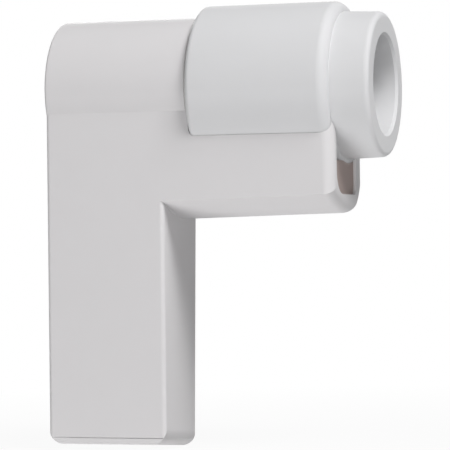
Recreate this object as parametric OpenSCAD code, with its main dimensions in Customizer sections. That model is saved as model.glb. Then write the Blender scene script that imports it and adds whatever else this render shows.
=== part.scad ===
// Sprung pivot bracket: an L-shaped moulded bracket that carries a turning barrel.
//
// Frame: millimetres. The barrel's axis is the X axis and +X points out of its bore.
// X = 0 is the plane where the collar leaves the bracket, -Y is the front and +Z is up.
// The leg hangs down at the left, the arm runs under the barrel as a cradle, and the
// hub, sleeve and collar turn about X against a torsion spring inside the knuckle.

/* [Barrel] */

// Radius of the bore that takes the shaft
bore_r = 6.5; // [5.4:0.1:7.8]
// Depth of the bore from the collar's end
bore_depth = 14.9; // [12:0.1:16]
// Wall of the hub's core round the bore
core_wall = 2.1; // [1.7:0.05:2.6]
// Wall of the turning sleeve round the core
sleeve_wall = 2.5; // [2:0.05:3]
// Wall of the collar round the bore
collar_wall = 3.25; // [2.6:0.05:3.8]
// Length of the turning sleeve
sleeve_length = 19.15; // [16:0.05:23.2]
// How far the sleeve's end stands back from the arm's end
sleeve_inset = 0.35; // [0.2:0.05:0.6]
// How far the collar stands out of the sleeve
collar_length = 4.9; // [4:0.1:6]

/* [Bracket] */

// Radius of the knuckle's bore, where the hub's journal runs
knuckle_bore_r = 7.6; // [7:0.1:9.2]
// Wall of the knuckle
knuckle_wall = 2; // [1.6:0.05:2.4]
// Length of the bracket from the knuckle's end to the arm's end
bracket_length = 39.5; // [38:0.1:47.5]
// Width of the leg along the barrel's axis
leg_width = 16.4; // [14:0.1:19.5]
// Length of the leg below the axis
leg_length = 47.7; // [40:0.1:57]
// Wall of the leg round its hollow
leg_wall = 2; // [1.6:0.1:2.4]
// How far the flat front stands back from the knuckle's outside
front_set_in = 0.55; // [0.45:0.05:0.7]
// Distance of the mounting pads behind the axis
back_depth = 5.3; // [5.1:0.1:6.4]
// Thickness of the saddle under the sleeve
saddle_thickness = 3.3; // [2.5:0.1:3.8]
// Thickness of the arm's floor under the saddle
arm_floor = 2.6; // [2.3:0.1:3.4]
// Slope of the foot, lower at the back
foot_slope = 4.5; // [0:0.5:8]

/* [Mounting] */

// Distance between the two inserts
insert_pitch = 20; // [16:0.1:24]
// Height of the lower insert above the foot
insert_height = 8.7; // [6.6:0.1:10]
// Radius of the inserts' bore
insert_bore_r = 2; // [1.6:0.1:2.2]

/* [Spring and stop] */

// Turns in the torsion spring
spring_turns = 7; // [4:1:7]
// Radius of the spring's wire
wire_r = 0.6; // [0.4:0.05:0.65]
// How far the hub can turn, in degrees
turn_range = 90; // [30:5:110]

/* [Fits] */

// Radial clearance of a running fit
running_gap = 0.05; // [0.03:0.01:0.1]
// Radial clearance between the sleeve and the cradle round it
cradle_gap = 0.05; // [0.05:0.05:0.5]
// Clearance between the sleeve and the saddle under it
saddle_gap = 0.1; // [0.05:0.05:0.4]
// Axial clearance at each end of the turning hub
axial_gap = 0.1; // [0.05:0.05:0.2]

/* [Hidden] */

round_fn = 96;
small_fn = 40;
eps = 0.01;

// radii that follow from the bore and the walls
core_r = bore_r + core_wall;
sleeve_r = core_r + sleeve_wall;
collar_r = bore_r + collar_wall;
shoulder_r = sleeve_r - collar_r;
knuckle_r = knuckle_bore_r + knuckle_wall;
front_depth = knuckle_r - front_set_in;

// knuckle and its web
knuckle_left = -bracket_length;
thrust_thickness = 0.35;
thrust_rim_gap = 0.15;
thrust_bore_gap = 0.1;
sleeve_right = -sleeve_inset;
sleeve_left = sleeve_right - sleeve_length;
knuckle_right = sleeve_left - thrust_thickness - axial_gap;
knuckle_edge_r = 0.4;
end_pocket_depth = 4.8;
web_left = knuckle_left + end_pocket_depth;
web_thickness = 2.5;
web_right = web_left + web_thickness;
spigot_step = 0.05;

// leg
leg_left = knuckle_left;
leg_right = leg_left + leg_width;
leg_centre = (leg_left + leg_right) / 2;
leg_roof = 5;
leg_core_top = -knuckle_bore_r - leg_roof;
leg_top = -3;
leg_edge_r = 0.55;
leg_corner_r = 2;
leg_core_step = 0.2;
foot_edge_r = 0.25;
foot_thickness = 0.8;
foot_gap = 0.02;
foot_inset = 0.03;
plate_edge_r = 0.5;
foot_plug = 2.6;
plug_wall = 1.2;
back_draft = 2.8;
back_top = 5;
back_top_z = -18.5;

// arm
arm_right = 0;
arm_depth = sleeve_r + saddle_thickness + arm_floor;
arm_back = 5.3;
arm_under_r = 24.8;
arm_under_y = 1.8;
arm_back_r = 6.2;
arm_slope = 1.25;
arm_under_lift = -0.2;
arm_end_r = 1.5;
arm_back_edge_r = 0.6;
arm_wall = 1.85;
channel_front = -front_depth + arm_wall;
channel_back = 2.6;
channel_floor = -sleeve_r - saddle_thickness;
channel_front_r = 3;
channel_back_r = 1;
saddle_inset = 0.35;
saddle_start = 0.6;
saddle_wrap = 1.1;
saddle_peg_inset = 4.3;
saddle_peg_r = 1.2;
saddle_peg_depth = 1.5;

// mounting inserts and the pads round them
insert_wall = 0.6;
insert_r = insert_bore_r + insert_wall;
insert_length = 6;
insert_mid_z = -leg_length + insert_height + insert_pitch / 2;
pad_rim = 1.4;
pad_r = insert_r + pad_rim;
pad_root = 2;
rail_width = 8.6;
rail_depth = 6.6;
rail_low = -leg_length + foot_plug + 1;

// axle
shoulder_bolt_r = 3;
thread_r = 2.5;
head_r = 4.4;
head_height = 2.8;
head_round = 0.9;
hex_key_r = 1.75;
hex_key_depth = 2;
thread_stand_out = 0.5;
web_plate = 3.4;
hub_web_inset = 2.5;
hub_web_right = sleeve_left + hub_web_inset;
hub_web_left = hub_web_right - web_plate;
washer_r = 5;
washer_thickness = 0.8;
nut_flats = 8;
nut_height = 4;
shoulder_end = hub_web_right + axial_gap;

// hub
journal_r = knuckle_bore_r - running_gap;
journal_wall = 1.1;
journal_inner_r = journal_r - journal_wall;
journal_length = 7.7;
journal_left = sleeve_left - journal_length;
sleeve_end_r = 0.7;
bush_r = 4;
bush_flange_r = 4.6;
bush_flange = 0.6;
nut_pocket_r = 5.4;
bore_floor = collar_length - bore_depth;
collar_taper = 0.2;
collar_edge_r = 0.65;
bore_bevel = 0.35;
key_width = 2;
key_height = 1;
key_side_gap = 0.05;
key_top_gap = 0.1;
key_end_gap = 2;

// stop: a rib in the knuckle's bore and a window in the journal
rib_span = 16;
rib_gap = 0.15;
rib_root = 0.3;
rib_height = journal_wall - rib_gap;
rib_length = 2.6;
rib_angle = 250;
stop_slack = 1.5;
stop_end_gap = 0.4;

// spring
spring_room = 0.45;
spring_r = journal_inner_r - spring_room - wire_r;
spring_end_gap = 0.4;
spring_left = web_right + wire_r + spring_end_gap;
spring_right = hub_web_left - bush_flange - spring_end_gap;
spacer_room = 0.6;
tang_length = 2.4;
tang_gap = 0.15;
tang_hole_r = wire_r + tang_gap;
tang_angle = 120;
bend_angle = 8;
wire_sides = 8;
rings_per_turn = 20;

// set screw
screw_x = -5;
screw_angle = 20;
screw_insert_r = 2.7;
screw_r = 2;
screw_flats = 2;
screw_socket_depth = 2;
screw_tip_gap = 0.1;
screw_top_gap = 0.9;
screw_insert_low = 0.3;
screw_insert_top = 0.4;

// cap and its seal
cap_thickness = 1.4;
cap_skirt = 3.3;
cap_wall = 2;
seal_left = knuckle_left + cap_thickness + 1;
seal_r = 0.5;

// ---- helpers -------------------------------------------------------------

// turns a solid drawn along +Z so that it runs along +X
module along_x(x = 0) {
    translate([x, 0, 0]) rotate([0, 90, 0]) children();
}

module rod_x(x, length, r, fn = round_fn) {
    along_x(x) cylinder(r = r, h = length, $fn = fn);
}

module tube_x(x, length, outer, inner) {
    difference() {
        rod_x(x, length, outer);
        rod_x(x - 1, length + 2, inner);
    }
}

// turns a half section drawn as (radius, X) about the X axis
module turned() {
    rotate([0, 90, 0]) rotate_extrude($fn = round_fn) children();
}

// 2-D rectangle with one radius on each corner, in the order
// (min, min), (max, min), (max, max), (min, max)
module rounded_box(a, b, r) {
    corners = [[a.x, a.y], [b.x, a.y], [b.x, b.y], [a.x, b.y]];
    inward = [[1, 1], [-1, 1], [-1, -1], [1, -1]];
    difference() {
        translate(a) square(b - a);
        for (i = [0:3])
            if (r[i] > 0) corner_cut(corners[i], inward[i], r[i]);
    }
}

// what is cut away to round the convex corner at p
module corner_cut(p, inward, r) {
    centre = [p.x + inward.x * r, p.y + inward.y * r];
    difference() {
        translate([min(p.x - inward.x, centre.x), min(p.y - inward.y, centre.y)])
            square([r + 1, r + 1]);
        translate(centre) circle(r = r, $fn = small_fn);
    }
}

// extrudes a (Y, Z) outline along X
module section_x(x, length) {
    translate([x, 0, 0]) rotate([90, 0, 90]) linear_extrude(length) children();
}

// extrudes an (X, Z) outline along Y
module section_y(y, length) {
    translate([0, y + length, 0]) rotate([90, 0, 0]) linear_extrude(length) children();
}

// extrudes an (X, Y) outline along Z
module section_z(z, length) {
    translate([0, 0, z]) linear_extrude(length) children();
}

// ---- bracket body ----------------------------------------------------------

function back_at(z) = back_top + (z - back_top_z) * tan(back_draft);

// height of the foot's sloped underside
function foot_at(y) = -leg_length - y * tan(foot_slope);

// upright front and sides, drafted back, every long edge rounded
module leg_block() {
    reach = 2 * front_depth;
    intersection() {
        section_z(-leg_length - reach, leg_length + reach + leg_top)
            rounded_box([leg_left, -front_depth], [leg_right, reach], [leg_edge_r, leg_edge_r, 0, 0]);
        translate([0, back_top, back_top_z]) rotate([-back_draft, 0, 0])
            section_z(-leg_length, 2 * leg_length)
                rounded_box([leg_left, -reach], [leg_right, 0], [0, 0, leg_edge_r, leg_edge_r]);
        translate([0, 0, -leg_length - eps]) rotate([-foot_slope, 0, 0])
            section_y(-reach, 2 * reach)
                rounded_box([leg_left, 0], [leg_right, leg_length], [leg_corner_r, leg_corner_r, 0, 0]);
    }
}

// (Y, Z) outline of everything above the sloped foot raised by h, with its front edge rounded
module above_foot(h, inset, r) {
    front = -front_depth + inset;
    back = 2 * front_depth;
    low = foot_at(front) + h;
    centre = [front + r, low + r * (1 / cos(foot_slope) - tan(foot_slope))];
    down = [sin(foot_slope), cos(foot_slope)];
    difference() {
        polygon([[front, low], [back, foot_at(back) + h], [back, leg_top], [front, leg_top]]);
        if (r > 0)
            difference() {
                polygon([[front - 1, centre.y], centre, centre - (r + 1) * down, [front - 1, low - 1]]);
                translate(centre) circle(r = r, $fn = small_fn);
            }
    }
}

module leg_outer() {
    intersection() {
        leg_block();
        section_x(leg_left, leg_width) above_foot(foot_thickness + foot_gap, 0, foot_edge_r);
    }
}

// the leg is cored out from below and closed by the foot plate
module leg_core() {
    core_front = -front_depth + leg_wall + leg_core_step;
    core_low = foot_at(2 * front_depth);
    difference() {
        section_x(leg_left + leg_wall, leg_width - 2 * leg_wall)
            polygon([
                [core_front, leg_core_top], [core_front, core_low],
                [back_at(core_low) - leg_wall, core_low],
                [back_at(leg_core_top) - leg_wall, leg_core_top]
            ]);
        // rail behind the inserts
        translate([leg_centre - rail_width / 2, back_depth - rail_depth, rail_low])
            cube([rail_width, rail_depth, leg_length + leg_core_top]);
    }
}

module mounting_pads() {
    for (side = [-1, 1])
        translate([leg_centre, pad_root, insert_mid_z + side * insert_pitch / 2]) rotate([-90, 0, 0])
            cylinder(r = pad_r, h = back_depth - pad_root, $fn = round_fn);
}

module insert_holes(r, deeper = 0) {
    for (side = [-1, 1])
        translate([leg_centre, back_depth - insert_length - deeper, insert_mid_z + side * insert_pitch / 2])
            rotate([-90, 0, 0])
                cylinder(r = r, h = insert_length + deeper + 1, $fn = round_fn);
}

// half outline of the arm's underside as (radius, X): it deepens towards the leg by the
// moulding draft, and its end is rounded
module arm_under_outline() {
    left = leg_right - leg_width / 2;
    straight = arm_right - arm_end_r;
    difference() {
        polygon([
            [0, left], [arm_under_r + (straight - left) * tan(arm_slope), left],
            [arm_under_r, straight], [arm_under_r, arm_right], [0, arm_right]
        ]);
        corner_cut([arm_under_r, arm_right], [-1, -1], arm_end_r);
    }
}

module arm_outer() {
    left = leg_right - leg_width / 2;
    intersection() {
        translate([0, arm_under_y, arm_under_r - arm_depth]) turned() arm_under_outline();
        // flat front, and a round lower back corner that follows the underside
        rotate([0, -arm_slope, 0]) section_x(knuckle_left, bracket_length + 2)
            rounded_box([-front_depth, -arm_depth - arm_under_lift], [arm_back, 0], [0, arm_back_r, 0, 0]);
        section_z(-2 * arm_depth, 2 * arm_depth + leg_top)
            rounded_box([left, -front_depth], [arm_right, arm_back],
                [0, arm_end_r, arm_back_edge_r, 0]);
    }
}

module channel() {
    section_x(knuckle_right, sleeve_length + bracket_length)
        rounded_box([channel_front, channel_floor], [channel_back, leg_top],
            [channel_front_r, channel_back_r, 0, 0]);
}

// the sleeve's own outline, larger by a gap all round
module sleeve_space(gap) {
    turned()
        rounded_box([0, sleeve_left - axial_gap], [sleeve_r + gap, sleeve_right + gap],
            [0, sleeve_end_r, shoulder_r + gap, 0]);
    rod_x(sleeve_right, sleeve_inset + 1, collar_r + gap);
}

// room for the sleeve to turn and for the thrust washer beside it
module sleeve_room() {
    sleeve_space(cradle_gap);
    rod_x(knuckle_right, sleeve_left - axial_gap - knuckle_right + eps, knuckle_r - spigot_step);
}

module knuckle_outer() {
    length = knuckle_right - knuckle_left;
    translate([knuckle_left, 0, 0]) turned()
        rounded_box([0, 0], [knuckle_r, length], [0, knuckle_edge_r, 0, 0]);
}

module stop_rib() {
    intersection() {
        tube_x(web_right + eps, rib_length + journal_left - web_right, knuckle_bore_r + rib_root,
            knuckle_bore_r - rib_height);
        wedge_x(rib_angle, rib_span);
    }
}

// sector of space about the X axis, centred on an angle measured from +Y to +Z
module wedge_x(angle, span) {
    reach = 14;
    half = span / 2;
    section_x(-bracket_length, bracket_length)
        polygon([
            [0, 0],
            [reach * cos(angle - half), reach * sin(angle - half)],
            [reach * cos(angle), reach * sin(angle)],
            [reach * cos(angle + half), reach * sin(angle + half)]
        ]);
}

module tang_hole(x, length, angle) {
    translate([0, spring_r * cos(angle), spring_r * sin(angle)])
        rod_x(x, length, tang_hole_r, small_fn);
}

module bracket_body() {
    color([0.82, 0.82, 0.83]) {
        difference() {
            union() {
                leg_outer();
                mounting_pads();
                arm_outer();
                knuckle_outer();
            }
            leg_core();
            insert_holes(insert_r);
            channel();
            saddle_pegs();
            sleeve_room();
            rod_x(web_right, bracket_length, knuckle_bore_r);
            rod_x(knuckle_left - 1, end_pocket_depth + 1, knuckle_bore_r);
            rod_x(knuckle_left, bracket_length, shoulder_bolt_r);
            tang_hole(web_left - eps, web_thickness + 2 * eps, tang_angle);
        }
        stop_rib();
    }
}

module foot_plate() {
    plug_top = -leg_length + foot_plug + foot_thickness;
    color([0.82, 0.82, 0.83]) {
        intersection() {
            leg_block();
            section_x(leg_left, leg_width)
                difference() {
                    above_foot(0, foot_inset, plate_edge_r);
                    above_foot(foot_thickness, -1, 0);
                }
        }
        // a rim that plugs into the leg's hollow
        intersection() {
            section_z(foot_at(front_depth), plug_top - foot_at(front_depth))
                difference() {
                    foot_plug_outline(0);
                    foot_plug_outline(plug_wall);
                }
            section_x(leg_left, leg_width) above_foot(foot_thickness / 2, 0, 0);
        }
    }
}

// outline of the leg's hollow at the foot, drawn in by an inset
module foot_plug_outline(inset) {
    side = leg_wall + inset;
    rounded_box([leg_left + side, -front_depth + side + leg_core_step],
        [leg_right - side, back_at(foot_at(front_depth)) - side], [0, 0, 0, 0]);
}

module mount_inserts() {
    color([0.79, 0.62, 0.3])
        difference() {
            intersection() {
                insert_holes(insert_r);
                translate([leg_left, -front_depth, -leg_length])
                    cube([leg_width, front_depth + back_depth, leg_length]);
            }
            insert_holes(insert_bore_r, 1);
        }
}

module knuckle_cap() {
    color([0.82, 0.82, 0.83])
        difference() {
            rod_x(knuckle_left, cap_thickness + cap_skirt, knuckle_bore_r);
            rod_x(knuckle_left + cap_thickness, cap_skirt + 1, knuckle_bore_r - cap_wall);
            // groove for the seal
            tube_x(seal_left, 2 * seal_r, knuckle_bore_r + 1,
                knuckle_bore_r - 2 * seal_r);
        }
}

module cap_seal() {
    color([0.1, 0.1, 0.1])
        translate([seal_left + seal_r, 0, 0]) turned()
            translate([knuckle_bore_r - seal_r, 0]) circle(r = seal_r, $fn = small_fn);
}

// ---- axle, spring and bearings -------------------------------------------

module axle_bolt() {
    bolt_end = shoulder_end + washer_thickness + nut_height + thread_stand_out;
    color([0.72, 0.73, 0.75])
        difference() {
            union() {
                translate([web_left - head_height, 0, 0]) turned()
                    rounded_box([0, 0], [head_r, head_height], [0, head_round, 0, 0]);
                rod_x(web_left - eps, shoulder_end - web_left + eps, shoulder_bolt_r);
                rod_x(shoulder_end - eps, bolt_end - shoulder_end, thread_r);
            }
            rod_x(web_left - head_height - 1, 1 + hex_key_depth, hex_key_r, 6);
        }
}

module axle_washer() {
    color([0.72, 0.73, 0.75]) tube_x(shoulder_end, washer_thickness, washer_r, thread_r);
}

module axle_nut() {
    across_corners = nut_flats / cos(30);
    color([0.72, 0.73, 0.75])
        difference() {
            rod_x(shoulder_end + washer_thickness, nut_height, across_corners / 2, 6);
            rod_x(shoulder_end, washer_thickness + nut_height + 1, thread_r);
        }
}

module spring_spacer() {
    spacer_r = spring_r - wire_r - spacer_room;
    color([0.25, 0.25, 0.27])
        tube_x(web_right, hub_web_left - bush_flange - axial_gap - web_right, spacer_r, shoulder_bolt_r);
}

// point on the spring's centre line, from 0 at the left end to 1 at the right
function coil_angle(t) = tang_angle + bend_angle + (360 * spring_turns - 2 * bend_angle) * t;

function coil_point(t) =
    let (a = coil_angle(t))
    [spring_left + (spring_right - spring_left) * t, spring_r * cos(a), spring_r * sin(a)];

// direction round the coil and outward, both square to the wire
function coil_frame(t) =
    let (a = coil_angle(t))
    [[0, cos(a), sin(a)], [1, 0, 0]];

// the ring of wire points round a centre, with the two directions that span it
function wire_ring(centre, u, v) = [
    for (k = [0:wire_sides - 1])
        let (b = 360 * k / wire_sides)
        centre + wire_r * (cos(b) * u + sin(b) * v)
];

module torsion_spring() {
    count = spring_turns * rings_per_turn;
    outward = [0, cos(tang_angle), sin(tang_angle)];
    around = [0, -sin(tang_angle), cos(tang_angle)];
    start = [spring_left - wire_r, 0, 0] + spring_r * outward;
    end = [spring_right + wire_r, 0, 0] + spring_r * outward;
    // the coil's wire faces along the coil, and each tang's wire faces along X
    left_tang = [
        wire_ring(start - [tang_length, 0, 0], outward, -around),
        wire_ring(start, outward, -around)
    ];
    coil = [
        for (i = [0:count])
            wire_ring(coil_point(i / count), coil_frame(i / count)[0], coil_frame(i / count)[1])
    ];
    right_tang = [
        wire_ring(end, outward, -around),
        wire_ring(end + [tang_length, 0, 0], outward, -around)
    ];
    rings = concat(left_tang, coil, right_tang);
    last = len(rings) - 1;
    points = [for (ring = rings) for (p = ring) p];
    walls = [
        for (i = [0:last - 1]) for (k = [0:wire_sides - 1])
            let (n = (k + 1) % wire_sides)
            [i * wire_sides + k, (i + 1) * wire_sides + k, (i + 1) * wire_sides + n, i * wire_sides + n]
    ];
    first_cap = [for (k = [0:wire_sides - 1]) k];
    last_cap = [for (k = [wire_sides - 1:-1:0]) last * wire_sides + k];
    color([0.6, 0.61, 0.63])
        polyhedron(points = points, faces = concat(walls, [first_cap, last_cap]));
}

module thrust_washer() {
    color([0.86, 0.86, 0.84])
        tube_x(knuckle_right, thrust_thickness, knuckle_r - thrust_rim_gap,
            knuckle_bore_r + thrust_bore_gap);
}

module saddle_pegs() {
    for (x = [sleeve_left + saddle_peg_inset, -saddle_peg_inset])
        translate([x, (channel_front + channel_back) / 2, channel_floor - saddle_peg_depth])
            cylinder(r = saddle_peg_r, h = saddle_peg_depth + eps, $fn = small_fn);
}

module bearing_saddle() {
    color([0.46, 0.41, 0.38]) {
        difference() {
            section_x(sleeve_left + saddle_start, -saddle_inset - sleeve_left - saddle_start)
                rounded_box([channel_front, channel_floor], [channel_back, saddle_wrap - sleeve_r],
                    [channel_front_r, channel_back_r, 0, 0]);
            sleeve_space(saddle_gap);
        }
        saddle_pegs();
    }
}

// ---- turning hub -----------------------------------------------------------

module barrel_sleeve() {
    color([0.84, 0.84, 0.85])
        difference() {
            translate([sleeve_left, 0, 0]) turned()
                rounded_box([0, 0], [sleeve_r, sleeve_length], [0, sleeve_end_r, shoulder_r, 0]);
            rod_x(sleeve_left - 1, sleeve_length + 2, core_r);
            // keyway
            translate([sleeve_left - 1, -key_width / 2 - key_side_gap, 0])
                cube([sleeve_length - shoulder_r, key_width + 2 * key_side_gap, core_r + key_height]);
            set_screw_bore(screw_insert_r);
        }
}

// radial hole through sleeve and hub for the set screw and its insert
module set_screw_bore(r) {
    translate([screw_x, 0, 0]) rotate([screw_angle - 90, 0, 0])
        cylinder(r = r, h = sleeve_r + 2, $fn = round_fn);
}

module collar_outer() {
    turned()
        difference() {
            polygon([
                [0, sleeve_right], [collar_r, sleeve_right],
                [collar_r - collar_taper, collar_length], [0, collar_length]
            ]);
            corner_cut([collar_r - collar_taper, collar_length], [-1, -1], collar_edge_r);
        }
}

module collar_hub() {
    color([0.84, 0.84, 0.85])
        difference() {
            union() {
                rod_x(sleeve_left, sleeve_length + eps, core_r);
                collar_outer();
                rod_x(journal_left, journal_length, journal_r);
                // key
                translate([sleeve_left, -key_width / 2, 0])
                    cube([sleeve_length - shoulder_r - key_end_gap, key_width,
                        core_r + key_height - key_top_gap]);
            }
            rod_x(bore_floor, bore_depth + 1, bore_r);
            // small lead-in at the mouth
            translate([collar_length, 0, 0]) turned()
                polygon([[0, -bore_bevel], [bore_r, -bore_bevel], [bore_r + 2 * bore_bevel, bore_bevel],
                    [0, bore_bevel]]);
            rod_x(hub_web_right, bore_floor - hub_web_right + 1, nut_pocket_r);
            rod_x(hub_web_left - 1, web_plate + 2, bush_r);
            rod_x(journal_left - 1, hub_web_left - journal_left + 1, journal_inner_r);
            tang_hole(hub_web_left - 1, tang_length + 1, tang_angle);
            set_screw_bore(screw_insert_r);
            stop_window();
        }
}

// the journal's end is cut back over the turn's range and the rib's width
module stop_window() {
    span = turn_range + rib_span + 2 * stop_slack;
    middle = rib_angle - turn_range / 2;
    intersection() {
        tube_x(journal_left - 1, rib_length + 1 + stop_end_gap, journal_r + 1, journal_inner_r - 1);
        union() {
            wedge_x(middle - span / 4, span / 2 + eps);
            wedge_x(middle + span / 4, span / 2 + eps);
        }
    }
}

module hub_bush() {
    color([0.75, 0.6, 0.35])
        difference() {
            union() {
                rod_x(hub_web_left - eps, web_plate + eps, bush_r);
                rod_x(hub_web_left - bush_flange, bush_flange, bush_flange_r);
            }
            rod_x(hub_web_left - 2, web_plate + 4, shoulder_bolt_r + running_gap);
        }
}

module screw_insert() {
    low = bore_r + screw_insert_low;
    color([0.79, 0.62, 0.3])
        translate([screw_x, 0, 0]) rotate([screw_angle - 90, 0, 0])
            difference() {
                translate([0, 0, low])
                    cylinder(r = screw_insert_r, h = sleeve_r - screw_insert_top - low, $fn = round_fn);
                cylinder(r = screw_r, h = sleeve_r + 2, $fn = round_fn);
            }
}

module shaft_set_screw() {
    low = bore_r + screw_tip_gap;
    top = sleeve_r - screw_top_gap;
    color([0.35, 0.35, 0.37])
        translate([screw_x, 0, 0]) rotate([screw_angle - 90, 0, 0])
            difference() {
                translate([0, 0, low]) cylinder(r = screw_r, h = top - low, $fn = round_fn);
                translate([0, 0, top - screw_socket_depth])
                    cylinder(r = screw_flats / 2 / cos(30), h = screw_socket_depth + 1, $fn = 6);
            }
}

// ---- assembly ------------------------------------------------------------

bracket_body();
foot_plate();
mount_inserts();
knuckle_cap();
cap_seal();
axle_bolt();
axle_washer();
axle_nut();
spring_spacer();
torsion_spring();
thrust_washer();
bearing_saddle();
barrel_sleeve();
collar_hub();
hub_bush();
screw_insert();
shaft_set_screw();
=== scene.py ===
# %% [markdown]
# A sprung pivot bracket in white moulded plastic. A turning barrel with a plain round bore
# sits in an L-shaped bracket: a leg to bolt to a wall, a knuckle that hides the spring, and
# an arm that runs under the barrel as a cradle.
#
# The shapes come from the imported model. This file adds the looks: camera, light, surfaces
# and the small finishing pieces. Lengths here are in metres, and millimetres are written
# as 5 * MM so that they read as on a drawing.

import math

import bmesh
import bpy
import numpy as np
from mathutils import Matrix, Vector


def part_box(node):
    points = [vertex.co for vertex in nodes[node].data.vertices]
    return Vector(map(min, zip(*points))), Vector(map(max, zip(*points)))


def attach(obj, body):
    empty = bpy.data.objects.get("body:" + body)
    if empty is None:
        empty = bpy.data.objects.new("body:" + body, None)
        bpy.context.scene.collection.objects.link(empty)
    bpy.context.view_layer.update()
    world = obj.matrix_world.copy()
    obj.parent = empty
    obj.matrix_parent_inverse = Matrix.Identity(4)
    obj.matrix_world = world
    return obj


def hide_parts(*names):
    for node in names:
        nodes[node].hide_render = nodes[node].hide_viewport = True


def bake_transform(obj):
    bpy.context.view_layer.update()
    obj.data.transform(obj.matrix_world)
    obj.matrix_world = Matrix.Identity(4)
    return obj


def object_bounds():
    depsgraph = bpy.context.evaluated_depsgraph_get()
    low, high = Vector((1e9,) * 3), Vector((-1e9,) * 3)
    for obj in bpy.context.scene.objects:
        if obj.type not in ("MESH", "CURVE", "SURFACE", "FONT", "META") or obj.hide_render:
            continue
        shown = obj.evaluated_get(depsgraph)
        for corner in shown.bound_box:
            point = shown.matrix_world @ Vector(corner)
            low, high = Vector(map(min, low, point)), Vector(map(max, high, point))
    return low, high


MM = 0.001

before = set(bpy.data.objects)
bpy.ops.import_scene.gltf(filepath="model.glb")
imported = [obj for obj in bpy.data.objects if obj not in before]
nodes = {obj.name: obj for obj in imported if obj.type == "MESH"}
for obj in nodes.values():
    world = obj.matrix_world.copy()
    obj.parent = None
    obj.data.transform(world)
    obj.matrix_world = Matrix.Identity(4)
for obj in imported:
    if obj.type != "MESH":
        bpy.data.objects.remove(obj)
cad_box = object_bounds()
scene = bpy.context.scene
print("nodes:", len(nodes), "box in mm:", [[round(c / MM, 1) for c in corner] for corner in cad_box])

# %% [markdown]
# The camera looks at the flat front from a little to the right, so that the leg's side, the
# end of the arm and the bore all show. A long lens from about a third of a metre keeps the
# barrel's edges nearly parallel, so that sizes can be read off the view. The camera stands a
# little below the barrel, level with the arm's underside.

# %% Camera
CAMERA_AT = Vector((86.0 * MM, -329.6 * MM, -20.6 * MM))
LOOK_YAW = math.radians(17.43)
LOOK_RISE = math.radians(-0.40)
LOOK_ROLL = math.radians(-0.68)
LENS = 206.5


def camera_turn(yaw, rise, roll):
    """Rows of the camera's own axes: back points from the object to the camera."""
    back = Vector((math.sin(yaw) * math.cos(rise), -math.cos(yaw) * math.cos(rise), math.sin(rise)))
    side = Vector((math.cos(yaw), math.sin(yaw), 0.0))
    up = back.cross(side)
    right = math.cos(roll) * side + math.sin(roll) * up
    top = -math.sin(roll) * side + math.cos(roll) * up
    return Matrix((right, top, back)).transposed()


camera_data = bpy.data.cameras.new("camera")
camera_data.lens = LENS
camera_data.sensor_width = 36.0
camera_data.clip_start = 0.01
camera = bpy.data.objects.new("camera", camera_data)
turned = camera_turn(LOOK_YAW, LOOK_RISE, LOOK_ROLL).to_4x4()
camera.matrix_world = Matrix.Translation(CAMERA_AT) @ turned
scene.collection.objects.link(camera)
scene.camera = camera
print("camera at", [round(c / MM, 1) for c in CAMERA_AT], "mm, lens", LENS)

# %% [markdown]
# Plain view settings and a plain white room. The world lights the object evenly, and what
# the camera, mirrors and glass see of it is white.

# %% World
scene.view_settings.view_transform = "Standard"

AMBIENT = 0.03


def seen_white(tree, strength):
    """1 where a camera, glossy or transmission ray looks, strength elsewhere."""
    rays = tree.nodes.new("ShaderNodeLightPath")
    either = tree.nodes.new("ShaderNodeMath")
    either.operation = "MAXIMUM"
    any_ray = tree.nodes.new("ShaderNodeMath")
    any_ray.operation = "MAXIMUM"
    tree.links.new(rays.outputs["Is Camera Ray"], either.inputs[0])
    tree.links.new(rays.outputs["Is Glossy Ray"], either.inputs[1])
    tree.links.new(either.outputs[0], any_ray.inputs[0])
    tree.links.new(rays.outputs["Is Transmission Ray"], any_ray.inputs[1])
    level = tree.nodes.new("ShaderNodeMapRange")
    level.inputs["To Min"].default_value = strength
    level.inputs["To Max"].default_value = 1.0
    tree.links.new(any_ray.outputs[0], level.inputs["Value"])
    return level.outputs["Result"]


world = bpy.data.worlds.new("white room")
scene.world = world
world.use_nodes = True
background = world.node_tree.nodes["Background"]
background.inputs["Color"].default_value = (1.0, 1.0, 1.0, 1.0)
world.node_tree.links.new(seen_white(world.node_tree, AMBIENT), background.inputs["Strength"])
print("ambient level", AMBIENT)

# %% [markdown]
# The floor is a large pale sheet at the foot of the leg. Near the object the camera sees a
# little of its real shading, so the object's shadow lies on it; a hand's width further out
# it is plain white, so no horizon shows. Another way would be a curved backdrop, but that
# would catch its own shadow in the other views.

# %% Floor
FLOOR_SIZE = 3.0
FLOOR_TONE = 0.5
WHITE_NEAR = 0.94
WHITE_FROM = 60 * MM
WHITE_FULL = 160 * MM
foot_z = cad_box[0][2]


def flat_sheet(name, size, z):
    """A grid of two by two points: x and y run from minus to plus half the size at height z."""
    edge = np.array([-0.5, 0.5]) * size
    x, y = np.meshgrid(edge, edge)
    points = np.stack([x, y, np.full_like(x, z)], axis=-1).reshape(-1, 3)
    mesh = bpy.data.meshes.new(name)
    mesh.from_pydata(points.tolist(), [], [(0, 1, 3, 2)])
    sheet = bpy.data.objects.new(name, mesh)
    scene.collection.objects.link(sheet)
    return sheet


def add(tree, kind, values=None, **settings):
    """Adds a shader node; settings are its own options and values its inputs by name."""
    node = tree.nodes.new(kind)
    for key, value in settings.items():
        setattr(node, key, value)
    for key, value in (values or {}).items():
        node.inputs[key].default_value = value
    return node


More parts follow.
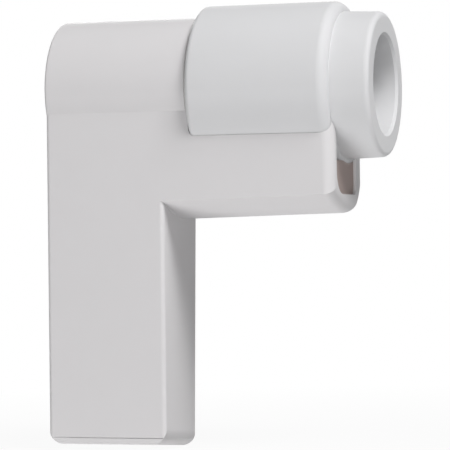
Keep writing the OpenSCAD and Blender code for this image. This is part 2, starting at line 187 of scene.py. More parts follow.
def floor_material():
    """Pale matt floor; camera rays see plain white and, near the object, some real shading."""
    material = bpy.data.materials.new("floor")
    material.use_nodes = True
    tree = material.node_tree
    tree.nodes.clear()
    link = tree.links.new
    lit = add(tree, "ShaderNodeBsdfDiffuse", {"Color": (FLOOR_TONE, FLOOR_TONE, FLOOR_TONE, 1.0)})
    white = add(tree, "ShaderNodeEmission", {"Color": (1.0, 1.0, 1.0, 1.0)})
    place = add(tree, "ShaderNodeTexCoord")
    reach = add(tree, "ShaderNodeVectorMath", operation="LENGTH")
    plain = add(tree, "ShaderNodeMapRange", {
        "From Min": WHITE_FROM, "From Max": WHITE_FULL, "To Min": WHITE_NEAR, "To Max": 1.0})
    link(place.outputs["Object"], reach.inputs[0])
    link(reach.outputs["Value"], plain.inputs["Value"])
    share = add(tree, "ShaderNodeMath", operation="MULTIPLY")
    link(seen_white(tree, 0.0), share.inputs[0])
    link(plain.outputs["Result"], share.inputs[1])
    both = add(tree, "ShaderNodeMixShader")
    link(share.outputs[0], both.inputs[0])
    link(lit.outputs[0], both.inputs[1])
    link(white.outputs[0], both.inputs[2])
    output = add(tree, "ShaderNodeOutputMaterial")
    link(both.outputs[0], output.inputs["Surface"])
    return material


floor = flat_sheet("floor", FLOOR_SIZE, foot_z)
floor.data.materials.append(floor_material())
print("floor at", round(foot_z / MM, 2), "mm")

# %% [markdown]
# One large soft light stands high in front and to the right: it throws the arm's shadow down
# the side of the leg, and shades the barrel from its top to its underside. A weaker one
# shines up from below at the left, as a white table does, and lifts the underside of the
# arm; the floor casts no shadow, so that this light passes it. A faint one in front, a
# little to the right, opens the bore, and one behind shows the back of the leg. Large
# lights are used because small ones would draw hard shadows.

# %% Lights
CENTRE = Vector([(low + high) / 2 for low, high in zip(*cad_box)])
LIGHT_DISTANCE = 0.8
LIGHT_SIZE = 0.35
LIGHTS = {
    "key": (53, 52, 6.5),
    "table": (-36, -60, 2.65),
    "front": (16, -7, 1.65),
    "back": (212, 12, 3.0),
}


def soft_light(name, azimuth, elevation, power):
    """A square light facing the object; azimuth 0 is the flat front and 90 the bore's side."""
    turn, rise = math.radians(azimuth), math.radians(elevation)
    toward = Vector((math.sin(turn) * math.cos(rise), -math.cos(turn) * math.cos(rise), math.sin(rise)))
    data = bpy.data.lights.new(name, "AREA")
    data.shape = "SQUARE"
    data.size = LIGHT_SIZE
    data.energy = power
    light = bpy.data.objects.new(name, data)
    light.location = CENTRE + toward * LIGHT_DISTANCE
    light.rotation_euler = toward.to_track_quat("Z", "Y").to_euler()
    scene.collection.objects.link(light)
    return light


for light_name, (azimuth, elevation, power) in LIGHTS.items():
    soft_light(light_name, azimuth, elevation, power)
floor.visible_shadow = False
print("lights:", {name: power for name, (_, _, power) in LIGHTS.items()})

# %% [markdown]
# Each surface effect that more than one material uses is a node group: built once here, and
# placed in every material with its own values. `new_group` makes the empty group with its
# named sockets. A group gives out only masks and heights; the shader stays in the material.

# %% Node groups
KINDS = {"value": "NodeSocketFloat", "vector": "NodeSocketVector"}


def new_group(name, inputs, outputs):
    """An empty node group with named sockets, its entry node and its exit node."""
    group = bpy.data.node_groups.new(name, "ShaderNodeTree")
    for label, kind, value in inputs:
        socket = group.interface.new_socket(name=label, in_out="INPUT", socket_type=KINDS[kind])
        if value is not None:
            socket.default_value = value
    for label in outputs:
        group.interface.new_socket(name=label, in_out="OUTPUT", socket_type=KINDS["value"])
    return group, group.nodes.new("NodeGroupInput"), group.nodes.new("NodeGroupOutput")


def math_node(tree, operation, first, second, third=None):
    """One Math node; each of its inputs is a socket or a number."""
    node = tree.nodes.new("ShaderNodeMath")
    node.operation = operation
    for place, item in enumerate((first, second, third)):
        if isinstance(item, (int, float)):
            node.inputs[place].default_value = item
        elif item is not None:
            tree.links.new(item, node.inputs[place])
    return node.outputs[0]


def noise(tree, vector, scale, detail=3.0, rough=0.5):
    """Smooth noise from 0 to 1; scale counts its waves in a metre."""
    node = add(tree, "ShaderNodeTexNoise", {"Detail": detail, "Roughness": rough})
    tree.links.new(vector, node.inputs["Vector"])
    if isinstance(scale, (int, float)):
        node.inputs["Scale"].default_value = scale
    else:
        tree.links.new(scale, node.inputs["Scale"])
    return node.outputs["Fac"]


# %% [markdown]
# A steel mould is blasted to a satin grain, and the plastic copies it: grains a third of a
# millimetre across on broader, hardly visible waves. The melt also cools unevenly, which
# leaves a slight cloudiness in the colour. Three sizes of noise in the object's own
# coordinates give all of it, where a picture of a texture would show its repeats.

# %% Mould grain
def make_mould_grain():
    """Height is fine plus broad noise; Clouds is wide noise; Patches is broad noise."""
    group, entry, out = new_group(
        "mould grain", [("Grain Scale", "value", 2600.0)], ["Height", "Clouds", "Patches"])
    place = add(group, "ShaderNodeTexCoord").outputs["Object"]
    fine = noise(group, place, entry.outputs["Grain Scale"], 3.0, 0.6)
    broad = noise(group, place, 170.0, 4.0, 0.55)
    wide = noise(group, place, 34.0, 2.0)
    group.links.new(math_node(group, "MULTIPLY_ADD", broad, 0.35, fine), out.inputs["Height"])
    shared = math_node(group, "MULTIPLY", broad, 0.4)
    group.links.new(math_node(group, "MULTIPLY_ADD", wide, 0.6, shared), out.inputs["Clouds"])
    group.links.new(broad, out.inputs["Patches"])
    return group


mould_grain = make_mould_grain()
print("made", mould_grain.name)

# %% [markdown]
# Handling rubs the corners first: they turn a little paler and smoother. On the plastics the paler
# edge is also a painted highlight, standing for light caught by the rounded edges. A Bevel node gives
# the normal that a rounded corner would have, and where that differs from the real normal there is an
# edge. Noise breaks the mask up, since wear is never an even line.

# %% Edge mask: wear, and painted highlight on the plastics
def make_edge_mask():
    """Edge is (1 - rounded normal . true normal) * Strength * noise, held between 0 and 1."""
    group, entry, out = new_group(
        "edge mask", [("Radius", "value", 0.0003), ("Strength", "value", 6.0)], ["Edge"])
    rounded = add(group, "ShaderNodeBevel", samples=4)
    group.links.new(entry.outputs["Radius"], rounded.inputs["Radius"])
    true_normal = add(group, "ShaderNodeNewGeometry").outputs["Normal"]
    facing = add(group, "ShaderNodeVectorMath", operation="DOT_PRODUCT")
    group.links.new(rounded.outputs["Normal"], facing.inputs[0])
    group.links.new(true_normal, facing.inputs[1])
    bend = math_node(group, "SUBTRACT", 1.0, facing.outputs["Value"])
    strong = math_node(group, "MULTIPLY", bend, entry.outputs["Strength"])
    place = add(group, "ShaderNodeTexCoord").outputs["Object"]
    broken = noise(group, place, 420.0, 4.0, 0.6)
    edges = math_node(group, "MULTIPLY", strong, broken)
    group.links.new(math_node(group, "MINIMUM", edges, 1.0), out.inputs["Edge"])
    return group


edge_mask = make_edge_mask()
print("made", edge_mask.name)

# %% [markdown]
# Fine hairline scuffs come from sliding on a bench. Noise that is stretched fifty times along
# one direction and cut to its highest crests leaves short, thin lines; two directions cross.

# %% Scuffs
def make_scuffs():
    """Lines is the sum of two stretched noises, each cut to what stands above a threshold."""
    group, entry, out = new_group("scuffs", [("Threshold", "value", 0.66)], ["Lines"])
    place = add(group, "ShaderNodeTexCoord").outputs["Object"]
    crests = []
    for angle, tilt in ((0.5, 0.2), (-0.9, 1.1)):
        turned = add(group, "ShaderNodeMapping", {
            "Rotation": (tilt, angle, 0.3 * angle), "Scale": (60.0, 3000.0, 3000.0)})
        group.links.new(place, turned.inputs["Vector"])
        wave = noise(group, turned.outputs["Vector"], 1.0, 1.0)
        above = math_node(group, "SUBTRACT", wave, entry.outputs["Threshold"])
        crests.append(math_node(group, "MAXIMUM", above, 0.0))
    both = math_node(group, "ADD", crests[0], crests[1])
    lines = math_node(group, "MULTIPLY", both, 8.0)
    group.links.new(math_node(group, "MINIMUM", lines, 1.0), out.inputs["Lines"])
    return group


scuffs = make_scuffs()
print("made", scuffs.name)

# %% [markdown]
# The bracket and its barrel are white moulded plastic with a satin skin. The colour drifts a
# little with the clouds and pales on the edges, partly rubbed and partly painted highlight where
# light catches the rounding; roughness follows the patches, drops on the edges and rises in the
# scuffs; the grain is a bump far too shallow to model.

# %% Moulded plastic
def place_group(tree, group, **values):
    """Places a node group in a material and sets its inputs."""
    node = tree.nodes.new("ShaderNodeGroup")
    node.node_tree = group
    for label, value in values.items():
        node.inputs[label.replace("_", " ")].default_value = value
    return node


def mix_colour(tree, factor, first, second):
    """Colour from first to second by a factor; each is a socket or three numbers."""
    node = add(tree, "ShaderNodeMix", data_type="RGBA")
    tree.links.new(factor, node.inputs["Factor"])
    for label, item in (("A", first), ("B", second)):
        if isinstance(item, tuple):
            node.inputs[label].default_value = (*item, 1.0)
        else:
            tree.links.new(item, node.inputs[label])
    return node.outputs["Result"]


def tone(colour, factor):
    """The colour times a factor, held at 1."""
    return tuple(min(1.0, c * factor) for c in colour)


def bump(tree, height, distance, strength=0.3):
    """Normal of a surface raised by height times distance, in metres."""
    node = add(tree, "ShaderNodeBump", {"Strength": strength, "Distance": distance})
    tree.links.new(height, node.inputs["Height"])
    return node.outputs["Normal"]


def new_material(name):
    """A fresh node material, its tree and its Principled shader."""
    material = bpy.data.materials.new(name)
    material.use_nodes = True
    tree = material.node_tree
    return material, tree, tree.nodes["Principled BSDF"]


PATCH_ROUGHNESS = 0.12
EDGE_POLISH = -0.12
SCUFF_ROUGHNESS = 0.1
PLASTIC_SHEEN = 0.15


def moulded_plastic(name, colour, rubbed_edge_and_highlight, spread=0.03, roughness=0.55, grain=10e-6):
    """Satin plastic: colour varies by spread either way; on edges it turns to
    rubbed_edge_and_highlight, partly wear and partly painted highlight.
    """
    material, tree, shader = new_material(name)
    skin = place_group(tree, mould_grain)
    edges = place_group(tree, edge_mask)
    marks = place_group(tree, scuffs)
    darker, paler = tone(colour, 1 - spread), tone(colour, 1 + spread)
    clouded = mix_colour(tree, skin.outputs["Clouds"], darker, paler)
    # painted highlight: the paler edge colour is partly rubbing wear and partly light caught by the
    # rounded edges
    coloured = mix_colour(tree, edges.outputs["Edge"], clouded, rubbed_edge_and_highlight)
    tree.links.new(coloured, shader.inputs["Base Color"])
    smoothest = roughness - PATCH_ROUGHNESS / 2
    rough = math_node(tree, "MULTIPLY_ADD", skin.outputs["Patches"], PATCH_ROUGHNESS, smoothest)
    rough = math_node(tree, "MULTIPLY_ADD", edges.outputs["Edge"], EDGE_POLISH, rough)
    rough = math_node(tree, "MULTIPLY_ADD", marks.outputs["Lines"], SCUFF_ROUGHNESS, rough)
    tree.links.new(rough, shader.inputs["Roughness"])
    tree.links.new(bump(tree, skin.outputs["Height"], grain), shader.inputs["Normal"])
    shader.inputs["Specular IOR Level"].default_value = PLASTIC_SHEEN
    return material


def dress(material, *names):
    """Gives the material to every slot of the named nodes."""
    for name in names:
        for slot in nodes[name].material_slots:
            slot.material = material


# the second colour of each white is its paler edge: partly rubbed, partly painted highlight
white_plastic = moulded_plastic("white moulding", (0.66, 0.647, 0.655), (0.7, 0.69, 0.695))
barrel_plastic = moulded_plastic("white barrel", (0.65, 0.65, 0.66), (0.69, 0.69, 0.7))
dress(white_plastic, "bracket_body", "foot_plate", "knuckle_cap")
dress(barrel_plastic, "barrel_sleeve", "collar_hub")
print("dressed the bracket and the barrel")

# %% [markdown]
# The spacer under the spring is black nylon, and the thrust washer between the barrel and the
# knuckle is smooth white acetal. The saddle under the barrel is left rougher so that it holds a
# little grease; its dull brown-grey colour is painted shade, the warm shade deep in the slot.
# The same moulded plastic serves for all three, with their own colours, grain and wear.

# %% Nylon and the saddle
dark_nylon = moulded_plastic("dark nylon", (0.05, 0.05, 0.055), (0.12, 0.12, 0.125), spread=0.15)
# painted shade: the saddle's brown-grey colour gives the warm shade deep in the slot under the barrel
painted_shade_saddle = moulded_plastic(
    "saddle plastic with painted shade", (0.36, 0.29, 0.27), (0.42, 0.35, 0.33),
    spread=0.08, roughness=0.6, grain=16e-6)
white_acetal = moulded_plastic(
    "white acetal", (0.7, 0.7, 0.68), (0.75, 0.75, 0.73), roughness=0.35, grain=4e-6)
dress(dark_nylon, "spring_spacer")
dress(white_acetal, "thrust_washer")
dress(painted_shade_saddle, "bearing_saddle")
print("dressed the washer, the spacer and the saddle")

# %% [markdown]
# The cap's seal is a moulded rubber ring: near black, dull, with a bloom of fine pale dust.
# Dust lies in patches, so one noise mask drives both the colour and the roughness.

# %% Seal rubber
def seal_rubber():
    """Near-black rubber; the paler bloom follows the cube of broad noise."""
    material, tree, shader = new_material("seal rubber")
    skin = place_group(tree, mould_grain, Grain_Scale=5200.0)
    bloom = math_node(tree, "POWER", skin.outputs["Patches"], 3.0)
    coloured = mix_colour(tree, bloom, (0.028, 0.028, 0.03), (0.11, 0.11, 0.11))
    tree.links.new(coloured, shader.inputs["Base Color"])
    tree.links.new(math_node(tree, "MULTIPLY_ADD", bloom, 0.2, 0.62), shader.inputs["Roughness"])
    tree.links.new(bump(tree, skin.outputs["Height"], 12e-6), shader.inputs["Normal"])
    return material


dress(seal_rubber(), "cap_seal")
print("dressed the seal")

# %% [markdown]
# Bolts, nuts, bushes and inserts are turned on a lathe, and the tool leaves fine rings round
# their axis. Noise that reads only the place along the axis and the distance from it is
# constant round the part, so it draws exactly such rings on ends and sides alike. The group
# takes a vector whose X runs along the part's own axis.

# %% Turned marks
def make_turned_marks():
    """Rings is noise of (place along the axis, distance from it, 0)."""
    group, entry, out = new_group(
        "turned marks", [("Vector", "vector", None), ("Ring Scale", "value", 5200.0)],
        ["Rings", "Bands"])
    parts = add(group, "ShaderNodeSeparateXYZ")
    group.links.new(entry.outputs["Vector"], parts.inputs[0])
    across = add(group, "ShaderNodeCombineXYZ")
    group.links.new(parts.outputs["Y"], across.inputs["Y"])
    group.links.new(parts.outputs["Z"], across.inputs["Z"])
    radius = add(group, "ShaderNodeVectorMath", operation="LENGTH")
    group.links.new(across.outputs[0], radius.inputs[0])
    rolled = add(group, "ShaderNodeCombineXYZ")
    group.links.new(parts.outputs["X"], rolled.inputs["X"])
    group.links.new(radius.outputs["Value"], rolled.inputs["Y"])
    rings = noise(group, rolled.outputs[0], entry.outputs["Ring Scale"], 2.0)
    group.links.new(rings, out.inputs["Rings"])
    group.links.new(noise(group, rolled.outputs[0], 700.0, 2.0), out.inputs["Bands"])
    return group


turned_marks = make_turned_marks()
print("made", turned_marks.name)

# %% [markdown]
# One function makes every turned metal: plated steel, brass, bronze and the blackened set
# screw. `spin` turns and moves the object's coordinates so that X lies along the piece's own
# axis. The two mounting inserts are one node with two axes, so their material folds Z about
# the middle of the pair first, which puts both on the same axis.

# %% Turned metal
def along_axis(tree, shift=(0.0, 0.0, 0.0), rotation=(0.0, 0.0, 0.0)):
    """Object coordinates less shift, then turned so that the piece's axis becomes X."""
    place = add(tree, "ShaderNodeTexCoord").outputs["Object"]
    moved = add(tree, "ShaderNodeVectorMath", operation="SUBTRACT")
    moved.inputs[1].default_value = shift
    tree.links.new(place, moved.inputs[0])
    turned = add(tree, "ShaderNodeMapping", {"Rotation": rotation})
    tree.links.new(moved.outputs[0], turned.inputs["Vector"])
    return turned.outputs["Vector"]


def turned_metal(name, colour, tarnish, roughness, place=along_axis, **spin):
    """Metal with lathe rings; bands of tarnish, brighter worn edges, rings in the bump."""
    material, tree, shader = new_material(name)
    lathe = place_group(tree, turned_marks)
    tree.links.new(place(tree, **spin), lathe.inputs["Vector"])
    skin = place_group(tree, mould_grain, Grain_Scale=4000.0)
    edges = place_group(tree, edge_mask, Radius=0.0002)
    dull = math_node(tree, "MULTIPLY", skin.outputs["Clouds"], lathe.outputs["Bands"])
    coloured = mix_colour(tree, math_node(tree, "MULTIPLY", dull, 2.0), colour, tarnish)
    coloured = mix_colour(tree, edges.outputs["Edge"], coloured, tone(colour, 1.15))
    tree.links.new(coloured, shader.inputs["Base Color"])
    rough = math_node(tree, "MULTIPLY_ADD", lathe.outputs["Rings"], 0.16, roughness - 0.08)
    rough = math_node(tree, "MULTIPLY_ADD", skin.outputs["Patches"], 0.1, rough)
    tree.links.new(rough, shader.inputs["Roughness"])
    tree.links.new(bump(tree, lathe.outputs["Rings"], 6e-6), shader.inputs["Normal"])
    shader.inputs["Metallic"].default_value = 1.0
    return material


QUARTER = math.radians(90)
insert_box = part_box("mount_inserts")
insert_centre = [(low + high) / 2 for low, high in zip(*insert_box)]
insert_r = (insert_box[1][0] - insert_box[0][0]) / 2
insert_half_pitch = (insert_box[1][2] - insert_box[0][2]) / 2 - insert_r


def along_inserts(tree):
    """Z is folded about the middle of the pair, then Y is turned onto X."""
    parts = add(tree, "ShaderNodeSeparateXYZ")
    place = add(tree, "ShaderNodeTexCoord").outputs["Object"]
    tree.links.new(place, parts.inputs[0])
    height = math_node(tree, "SUBTRACT", parts.outputs["Z"], insert_centre[2])
    folded = math_node(tree, "SUBTRACT", math_node(tree, "ABSOLUTE", height, 0.0), insert_half_pitch)
    side = math_node(tree, "SUBTRACT", parts.outputs["X"], insert_centre[0])
    turned = add(tree, "ShaderNodeCombineXYZ")
    for label, socket in (("X", parts.outputs["Y"]), ("Y", side), ("Z", folded)):
        tree.links.new(socket, turned.inputs[label])
    return turned.outputs[0]


screw_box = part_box("shaft_set_screw")
screw_centre = tuple((low + high) / 2 for low, high in zip(*screw_box))
SCREW_TILT = math.radians(20)
screw_axis = {"shift": (screw_centre[0], 0.0, 0.0), "rotation": (-SCREW_TILT, 0.0, -QUARTER)}

BRASS = (0.72, 0.53, 0.22)
BRASS_TARNISH = (0.48, 0.34, 0.15)
steel = turned_metal("plated steel", (0.6, 0.61, 0.62), (0.42, 0.42, 0.42), 0.32)
bronze = turned_metal("bush bronze", (0.66, 0.5, 0.27), (0.4, 0.28, 0.14), 0.36)
insert_brass = turned_metal("insert brass", BRASS, BRASS_TARNISH, 0.34, place=along_inserts)
screw_brass = turned_metal("screw insert brass", BRASS, BRASS_TARNISH, 0.34, **screw_axis)
black_steel = turned_metal(
    "blackened steel", (0.09, 0.09, 0.1), (0.05, 0.045, 0.045), 0.42, **screw_axis)
dress(steel, "axle_bolt", "axle_washer", "axle_nut")
dress(bronze, "hub_bush")
dress(insert_brass, "mount_inserts")
dress(screw_brass, "screw_insert")
dress(black_steel, "shaft_set_screw")
print("dressed the metal pieces; inserts", round(2 * insert_half_pitch / MM, 1), "mm apart")

# %% [markdown]
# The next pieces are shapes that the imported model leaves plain: screw threads, a chamfered
# nut and the round spring wire. Each is a grid of points, rows along the shape and columns
# round it. `skin` joins neighbouring points into faces and closes the two ends, or joins the
# last row to the first where the shape is a ring.

# %% Skin over a grid
def skin(name, grid, ring=False):
    """Faces (i, j), (i, j + 1), (i + 1, j + 1), (i + 1, j) over the grid, columns wrapped."""
    rows, columns = grid.shape[:2]
    i, j = np.meshgrid(np.arange(rows if ring else rows - 1), np.arange(columns), indexing="ij")
    after = (j + 1) % columns
    first, second = i * columns, (i + 1) % rows * columns
    quads = np.stack([first + j, first + after, second + after, second + j], axis=-1).reshape(-1, 4)
    last = (rows - 1) * columns
    ends = [] if ring else [list(range(columns))[::-1], list(range(last, last + columns))]
    mesh = bpy.data.meshes.new(name)
    mesh.from_pydata(grid.reshape(-1, 3).tolist(), [], quads.tolist() + ends)
    return mesh


def new_piece(mesh, smooth_below=math.radians(30)):
    """Merges doubled points, points the faces outwards and makes the object at the origin."""
    shape = bmesh.new()
    shape.from_mesh(mesh)
    bmesh.ops.remove_doubles(shape, verts=shape.verts, dist=0.00001 * MM)
    bmesh.ops.recalc_face_normals(shape, faces=shape.faces)
    shape.to_mesh(mesh)
    shape.free()
    mesh.shade_smooth()
    mesh.set_sharp_from_angle(angle=smooth_below)
    piece = bpy.data.objects.new(mesh.name, mesh)
    scene.collection.objects.link(piece)
    return piece


print("ready to skin grids")

# %% [markdown]
# The nut holds the axle bolt inside the hub, where it shows through the bore. A real nut is
# a hexagon whose corners are turned off by a cone at each face. Round the axis, the distance
# to a hexagon's side is a known function of the angle, so the nut is simply the smaller of
# that distance and the cone's radius.

# %% Axle nut
NUT_FLATS = 8.0 * MM
NUT_BORE_R = 2.5 * MM
FACE_SHARE = 0.95
CHAMFER_SLOPE = math.tan(math.radians(30))
CHAMFER_STEPS = 7
ROUND_COLUMNS = 96


def hexagon(angle, flats):
    """Distance from the axis to a hexagon's side: half the flats / cos(angle to that side's middle)."""
    sector = math.radians(60)
    return flats / 2 / np.cos((angle + sector / 2) % sector - sector / 2)


def about_x(x, radius, angle):
    """Points (x, -radius * sin angle, radius * cos angle) for rows of x and columns of angle."""
    x, radius, angle = np.broadcast_arrays(x, radius, angle)
    return np.stack([x, -radius * np.sin(angle), radius * np.cos(angle)], axis=-1)


nut_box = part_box("axle_nut")
turn = np.arange(ROUND_COLUMNS) * 2 * np.pi / ROUND_COLUMNS


def nut_grid():
    """Rows go from the bore out over one face, across the sides and back over the other."""
    left, right = nut_box[0][0], nut_box[1][0]
    corner = NUT_FLATS / math.sqrt(3)
    face_r = FACE_SHARE * NUT_FLATS / 2
    cone_r = np.linspace(face_r, corner, CHAMFER_STEPS)
    depth = (cone_r - face_r) * CHAMFER_SLOPE
    x = np.concatenate([[left], left + depth, right - depth[::-1], [right]])
    limit = np.concatenate([[NUT_BORE_R], cone_r, cone_r[::-1], [NUT_BORE_R]])
    side = hexagon(turn + math.radians(30), NUT_FLATS)
    return about_x(x[:, None], np.minimum(limit[:, None], side[None, :]), turn[None, :])


nut = new_piece(skin("chamfered_axle_nut", nut_grid(), ring=True))
nut.data.materials.append(steel)
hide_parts("axle_nut")
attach(nut, "bracket")
print("nut", round(NUT_FLATS / MM, 1), "mm across its flats")

# %% [markdown]
# The axle is a shoulder bolt: a low round head with a hexagon socket, a smooth shoulder on
# which the hub turns, and a thread for the nut. One outline of (place, radius) rows describes
# it from the socket's floor to the thread's tip. The socket's rows read the hexagon instead
# of a circle, and the thread's rows add a sawtooth that climbs one pitch in each turn.

# %% Axle bolt
BOLT_PITCH = 0.8 * MM
BOLT_THREAD_DEPTH = 0.45 * MM
BOLT_THREAD_R = 2.48 * MM
BOLT_TIP = 0.35 * MM
SHOULDER_R = 3.0 * MM
HEAD_HEIGHT = 2.8 * MM
HEAD_ROUND = 0.9 * MM
SOCKET_DEPTH = 2.0 * MM
SOCKET_CORNER_R = 1.75 * MM
THREAD_ROWS_PER_PITCH = 14

bolt_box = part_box("axle_bolt")
washer_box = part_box("axle_washer")
head_r = bolt_box[1][2]


def bolt_grid():
    """Socket floor, socket wall, rounded head, shoulder, thread and tip, joined row by row."""
    left, right = bolt_box[0][0], bolt_box[1][0]
    shoulder_end = washer_box[0][0]
    head_end = left + HEAD_HEIGHT
    arc = np.linspace(0.0, np.pi / 2, 8)
    head_x = left + HEAD_ROUND - HEAD_ROUND * np.cos(arc)
    head_out = head_r - HEAD_ROUND + HEAD_ROUND * np.sin(arc)
    thread_rows = int((right - shoulder_end) / BOLT_PITCH * THREAD_ROWS_PER_PITCH)
    thread_x = np.linspace(shoulder_end, right, thread_rows)
    socket = hexagon(turn + math.radians(30), SOCKET_CORNER_R * math.sqrt(3))
    phase = (thread_x[:, None] / BOLT_PITCH - turn[None, :] / (2 * np.pi)) % 1.0
    ridge = BOLT_THREAD_R - BOLT_THREAD_DEPTH * np.abs(2 * phase - 1.0)
    to_tip = np.clip((right - thread_x) / BOLT_TIP, 0.0, 1.0)[:, None]
    tip_r = BOLT_THREAD_R - BOLT_THREAD_DEPTH
    thread_r = np.minimum(ridge, tip_r + (BOLT_THREAD_R - tip_r) * to_tip)
    plain_x = np.concatenate([head_x, [head_end, head_end, shoulder_end]])
    plain_r = np.concatenate([head_out, [head_r, SHOULDER_R, SHOULDER_R]])
    x = np.concatenate([[left + SOCKET_DEPTH] * 2, [left], plain_x, thread_x, [right]])
    radius = np.concatenate([
        np.zeros((1, ROUND_COLUMNS)), socket[None, :], socket[None, :],
        np.repeat(plain_r[:, None], ROUND_COLUMNS, axis=1), thread_r,
        np.zeros((1, ROUND_COLUMNS))])
    return about_x(x[:, None], radius, turn[None, :])


bolt = new_piece(skin("threaded_axle_bolt", bolt_grid()))
bolt.data.materials.append(steel)
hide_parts("axle_bolt")
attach(bolt, "bracket")
print("bolt from", round(bolt_box[0][0] / MM, 1), "to", round(bolt_box[1][0] / MM, 1), "mm")

# %% [markdown]
# Wire and thread ridges are a small profile carried along a path. `carry` sets one copy of
# the profile square to the path at every point and skins the copies.

# %% Profile along a path
def carry(name, path, out, profile):
    """Point (i, j) is path[i] + profile[j].x * out[i] + profile[j].y * (path direction x out[i]).

    out is a unit vector at each path point, square to the path there. The attribute place
    holds, for every point, the length run along the path and the share run round it."""
    step = np.gradient(path, axis=0)
    run = np.concatenate([[0.0], np.cumsum(np.linalg.norm(np.diff(path, axis=0), axis=1))])
    along = step / np.linalg.norm(step, axis=1)[:, None]
    side = np.cross(along, out)
    grid = path[:, None] + profile[None, :, :1] * out[:, None] + profile[None, :, 1:] * side[:, None]
    mesh = skin(name, grid)
    place = mesh.attributes.new("place", "FLOAT_VECTOR", "POINT")
    share = np.arange(len(profile)) / len(profile)
    values = np.stack(np.broadcast_arrays(run[:, None], share[None, :], 0.0), axis=-1)
    place.data.foreach_set("vector", values.reshape(-1).astype(np.float32))
    return new_piece(mesh)


def circle(radius, count):
    """Points of a circle: (radius * cos a, radius * sin a) for count equal steps of a."""
    angle = np.arange(count) * 2 * np.pi / count
    return radius * np.stack([np.cos(angle), np.sin(angle)], axis=-1)


print("ready to carry profiles")

# %% [markdown]
# The torsion spring that returns the barrel is seven turns of round wire. Each end bends
# from the coil to run straight along the axle into a hole, one in the bracket's web and one
# in the hub's. The whole wire lies on one cylinder, so it is drawn flat first, as (place
# along the axis, distance round), where a coil is a sloping line and a bend is a quarter
# circle. Rolling that drawing up gives the path.

# %% Torsion spring
WIRE_R = 0.6 * MM
SPRING_TURNS = 7
TANG_LENGTH = 2.4 * MM
TANG_ANGLE = math.radians(120)
BEND_R = 0.9 * MM
WIRE_SIDES = 16
COIL_STEPS = 340
BEND_STEPS = 8

spring_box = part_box("torsion_spring")
coil_r = spring_box[1][2] - WIRE_R
wire_start, wire_end = spring_box[0][0], spring_box[1][0]


def spring_path():
    """Left tang, quarter bend, coil, quarter bend and right tang, rolled onto radius coil_r."""
    first = wire_start + TANG_LENGTH + WIRE_R
    last = wire_end - TANG_LENGTH - WIRE_R
    round_length = 2 * np.pi * coil_r * SPRING_TURNS
    quarter = np.linspace(0.0, np.pi / 2, BEND_STEPS)
    t = np.linspace(0.0, 1.0, COIL_STEPS)[1:-1]
    x = np.concatenate([
        [wire_start], first - BEND_R + BEND_R * np.sin(quarter),
        first + (last - first) * t,
        last + BEND_R - BEND_R * np.cos(quarter), [wire_end]])
    around = np.concatenate([
        [0.0], BEND_R - BEND_R * np.cos(quarter),
        BEND_R + (round_length - 2 * BEND_R) * t,
        round_length - BEND_R + BEND_R * np.sin(quarter), [round_length]])
    angle = TANG_ANGLE + around / coil_r
    out = np.stack([np.zeros_like(angle), np.cos(angle), np.sin(angle)], axis=-1)
    return np.stack([x, coil_r * out[:, 1], coil_r * out[:, 2]], axis=-1), out


spring_line, spring_out = spring_path()
spring = carry("spring_wire", spring_line, spring_out, circle(WIRE_R, WIRE_SIDES))
print("spring coil radius", round(coil_r / MM, 2), "mm,", len(spring.data.polygons), "faces")

# %% [markdown]
# Spring wire is drawn through a die, which leaves long streaks along it and a dark, slightly
# blue skin. The streaks read the attribute `place`: noise squeezed along the wire and quick
# round it.

# %% Spring steel
def spring_steel():
    """Drawn wire: streak noise, long along the wire, in colour, roughness and bump."""
    material, tree, shader = new_material("spring steel")
    place = add(tree, "ShaderNodeAttribute", attribute_name="place")
    squeezed = add(tree, "ShaderNodeMapping", {"Scale": (400.0, 22.0, 1.0)})
    tree.links.new(place.outputs["Vector"], squeezed.inputs["Vector"])
    streaks = noise(tree, squeezed.outputs["Vector"], 1.0, 3.0)
    skin = place_group(tree, mould_grain, Grain_Scale=3500.0)
    coloured = mix_colour(tree, streaks, (0.38, 0.39, 0.42), (0.56, 0.56, 0.57))
    coloured = mix_colour(tree, skin.outputs["Clouds"], coloured, (0.46, 0.45, 0.45))
    tree.links.new(coloured, shader.inputs["Base Color"])
    tree.links.new(math_node(tree, "MULTIPLY_ADD", streaks, 0.2, 0.18), shader.inputs["Roughness"])
    tree.links.new(bump(tree, streaks, 5e-6), shader.inputs["Normal"])
    shader.inputs["Metallic"].default_value = 1.0
    return material


spring_finish = spring_steel()
spring.data.materials.append(spring_finish)
dress(spring_finish, "torsion_spring")
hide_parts("torsion_spring")
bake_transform(spring)
print("spring winds between the bracket and the hub")

# %% [markdown]
# The brass inserts are tapped M4. A thread is a small ridge with a flat crest that winds
# along the bore; a true one is needed here, because the light falls straight into the open
# holes. One helix serves both mounting inserts, whose axes run from front to back.

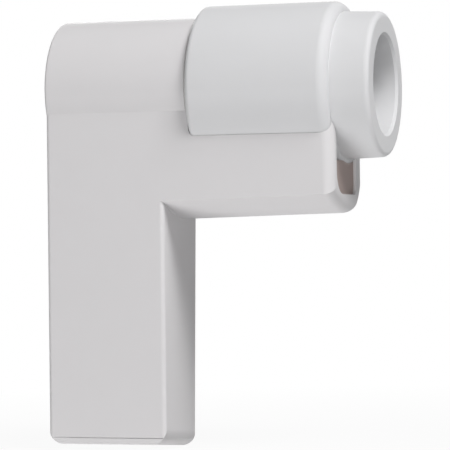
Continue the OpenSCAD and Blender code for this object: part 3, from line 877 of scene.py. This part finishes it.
# %% Insert threads
THREAD_PITCH = 0.7 * MM
THREAD_DEPTH = 0.36 * MM
THREAD_STEPS_PER_TURN = 36
ROOT_SHARE = 0.40
CREST_SHARE = 0.09
SEAT = 0.02 * MM


def helix(start, axis, radius, length):
    """Path and outward directions: start + axis * p * t + radius * (cos t, sin t) square to axis."""
    axis = np.array(axis) / np.linalg.norm(axis)
    across = np.cross(axis, (1.0, 0.0, 0.0) if abs(axis[0]) < 0.9 else (0.0, 0.0, 1.0))
    across /= np.linalg.norm(across)
    other = np.cross(axis, across)
    turns = length / THREAD_PITCH
    t = np.linspace(0.0, turns, int(turns * THREAD_STEPS_PER_TURN) + 1)
    angle = 2 * np.pi * t
    out = np.cos(angle)[:, None] * across + np.sin(angle)[:, None] * other
    path = np.array(start) + THREAD_PITCH * t[:, None] * axis + radius * out
    return path, out


def inner_ridge():
    """Thread profile: wide on the bore's wall, which it enters by SEAT, and narrow at its crest."""
    root, crest = ROOT_SHARE * THREAD_PITCH, CREST_SHARE * THREAD_PITCH
    return np.array([[SEAT, -root], [SEAT, root], [-THREAD_DEPTH, crest], [-THREAD_DEPTH, -crest]])


def square_out(path, out):
    """Makes each outward direction exactly square to the path."""
    along = np.gradient(path, axis=0)
    along /= np.linalg.norm(along, axis=1)[:, None]
    flat = out - (out * along).sum(axis=1)[:, None] * along
    return flat / np.linalg.norm(flat, axis=1)[:, None]


def insert_thread(name, start, axis, radius, length, body, material):
    """One thread ridge as a piece that rides on a body."""
    path, out = helix(start, axis, radius, length)
    piece = carry(name, path, square_out(path, out), inner_ridge())
    piece.data.materials.append(material)
    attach(piece, body)
    return piece


INSERT_BORE_R = 2.0 * MM
END_MARGIN = 0.45 * MM
insert_start = insert_box[0][1] + END_MARGIN
insert_length = insert_box[1][1] - insert_box[0][1] - 2 * END_MARGIN
for label, side in (("lower", -1), ("upper", 1)):
    start = (insert_centre[0], insert_start, insert_centre[2] + side * insert_half_pitch)
    insert_thread(f"{label}_insert_thread", start, (0.0, 1.0, 0.0), INSERT_BORE_R, insert_length,
                  "bracket", insert_brass)

print("threads in the mounting inserts,", round(insert_length / MM, 1), "mm long each")
